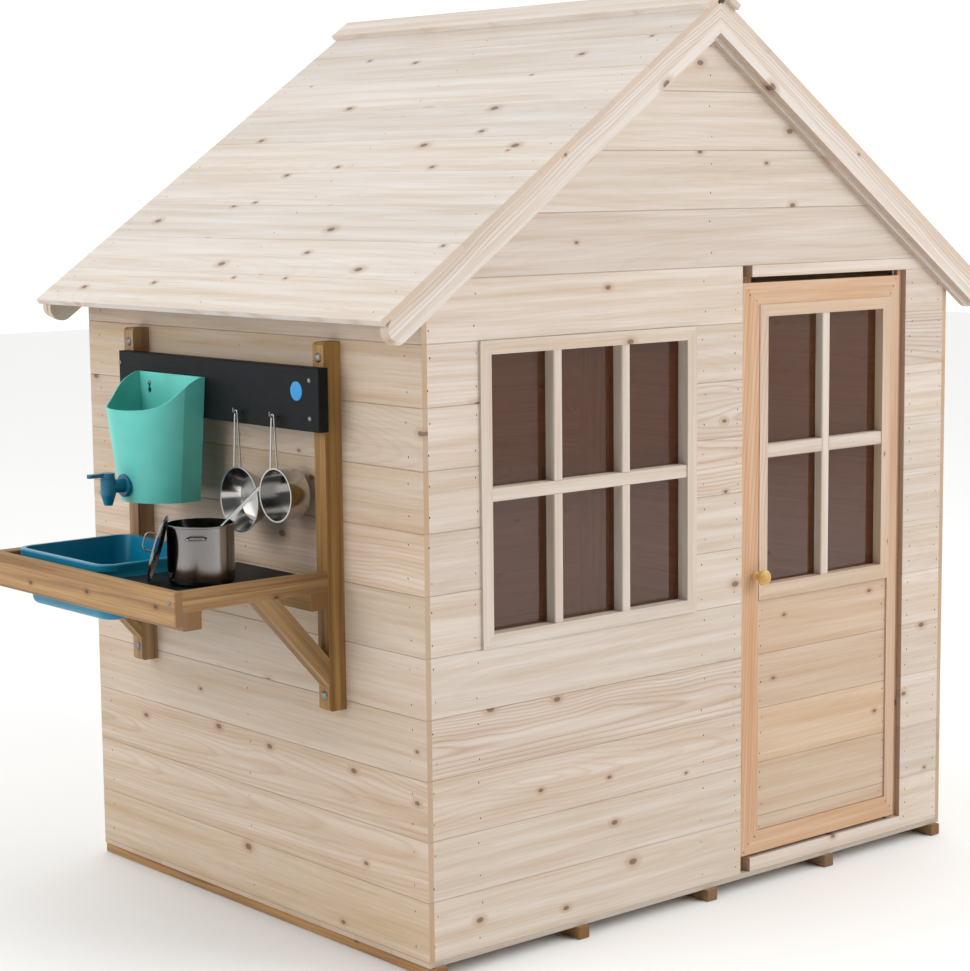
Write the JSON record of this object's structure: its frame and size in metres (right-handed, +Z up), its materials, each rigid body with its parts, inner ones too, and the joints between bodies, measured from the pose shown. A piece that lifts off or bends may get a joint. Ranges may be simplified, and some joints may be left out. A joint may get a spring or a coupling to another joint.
{
  "type": "playhouse",
  "caption": "Wooden garden playhouse with a pitched roof, glazed window, hinged door and a side-mounted mud kitchen with basin, water dispenser and steel pans",
  "frame": {"origin": "on the ground, at the middle of the house's plan, under the middle floor bearer", "axes": "+X to the right along the front, +Y from the front wall to the back, +Z up"},
  "size_m": [1.6266, 0.998, 1.5154],
  "materials": {
    "spruce": "planed bare spruce boards, satin-matt",
    "door_spruce": "planed bare spruce, slightly pinker",
    "treated_timber": "pressure-treated brown softwood, matt",
    "turned_beech": "turned and varnished hardwood",
    "black_board": "black painted board, matt",
    "clear_sheet": "clear acrylic sheet",
    "zinc_steel": "zinc-plated, semi-bright",
    "stainless_steel": "polished stainless steel",
    "blue_plastic": "moulded polypropylene, semi-gloss",
    "teal_plastic": "moulded polypropylene, satin",
    "tap_plastic": "moulded plastic, semi-gloss"
  },
  "bodies": {
    "house": {"back_barge_boards": "spruce", "back_battens": "spruce", "back_gable_boards": "spruce", "back_wall_boards": "spruce", "coach_bolts": "zinc_steel", "door_lintel": "spruce", "door_pivot_pins": "zinc_steel", "door_threshold": "spruce", "eaves_battens": "spruce", "floor_bearer_1": "treated_timber", "floor_bearer_2": "treated_timber", "floor_bearer_3": "treated_timber", "floor_bearer_4": "treated_timber", "floor_bearer_5": "treated_timber", "floor_boards": "spruce", "front_barge_boards": "spruce", "front_battens": "spruce", "front_gable_boards": "spruce", "front_left_boards": "spruce", "front_lower_boards": "spruce", "front_middle_boards": "spruce", "front_right_boards": "spruce", "front_upper_board": "spruce", "hob_panel": "black_board", "kitchen_back_board": "black_board", "kitchen_post_back": "treated_timber", "kitchen_post_front": "treated_timber", "kitchen_screws": "zinc_steel", "left_roof_boards": "spruce", "left_wall_boards": "spruce", "pan_hooks": "zinc_steel", "ridge_cap": "spruce", "right_roof_boards": "spruce", "right_wall_boards": "spruce", "roof_rafters": "spruce", "side_battens": "spruce", "tray_braces": "treated_timber", "tray_front_rail": "treated_timber", "tray_lip": "treated_timber", "tray_rear_rail": "treated_timber", "tray_side_rails": "treated_timber", "window_frame": "spruce", "window_glazing": "clear_sheet", "window_muntins": "spruce"},
    "door": {"door_frame": "door_spruce", "door_boards": "door_spruce", "door_glazing_bead": "door_spruce", "door_muntins": "door_spruce", "door_glazing": "clear_sheet", "door_knob": "turned_beech"},
    "basin": {"wash_basin": "blue_plastic"},
    "dispenser": {"water_dispenser": "teal_plastic", "tap_body": "tap_plastic"},
    "tap_lever": {"tap_lever": "tap_plastic"},
    "pot": {"cooking_pot": "stainless_steel"},
    "lid": {"pot_lid": "stainless_steel"},
    "ladle": {"ladle": "stainless_steel"},
    "frying_pan": {"frying_pan": "stainless_steel"},
    "saucepan": {"saucepan": "stainless_steel"}
  },
  "joints": [
    {"name": "door_hinge", "type": "hinge", "parent": "house", "child": "door", "pos_m": [0.471, -0.459, 0.548], "axis": [0, 0, 1], "range_deg": [0, 110]},
    {"name": "basin_lift", "type": "slide", "parent": "house", "child": "basin", "axis": [0, 0, 1], "range_m": [0, 0.045]},
    {"name": "dispenser_lift", "type": "slide", "parent": "house", "child": "dispenser", "axis": [0, 0, 1], "range_m": [0, 0.012]},
    {"name": "tap_turn", "type": "hinge", "parent": "dispenser", "child": "tap_lever", "pos_m": [-0.78885, 0.127, 0.735], "axis": [0, 0, 1], "range_deg": [-90, 90]},
    {"name": "pot_lift", "type": "slide", "parent": "house", "child": "pot", "axis": [0, 0, 1], "range_m": [0, 0.1]},
    {"name": "lid_lift", "type": "slide", "parent": "pot", "child": "lid", "axis": [0, 0, 1], "range_m": [0, 0.1]},
    {"name": "ladle_lift", "type": "slide", "parent": "pot", "child": "ladle", "axis": [0, 0, 1], "range_m": [0, 0.06]},
    {"name": "frying_pan_swing", "type": "hinge", "parent": "house", "child": "frying_pan", "pos_m": [-0.6686, -0.07, 0.85], "axis": [1, 0, 0], "range_deg": [0, 25]},
    {"name": "saucepan_swing", "type": "hinge", "parent": "house", "child": "saucepan", "pos_m": [-0.6686, -0.17, 0.85], "axis": [1, 0, 0], "range_deg": [-12, 0]}
  ]
}
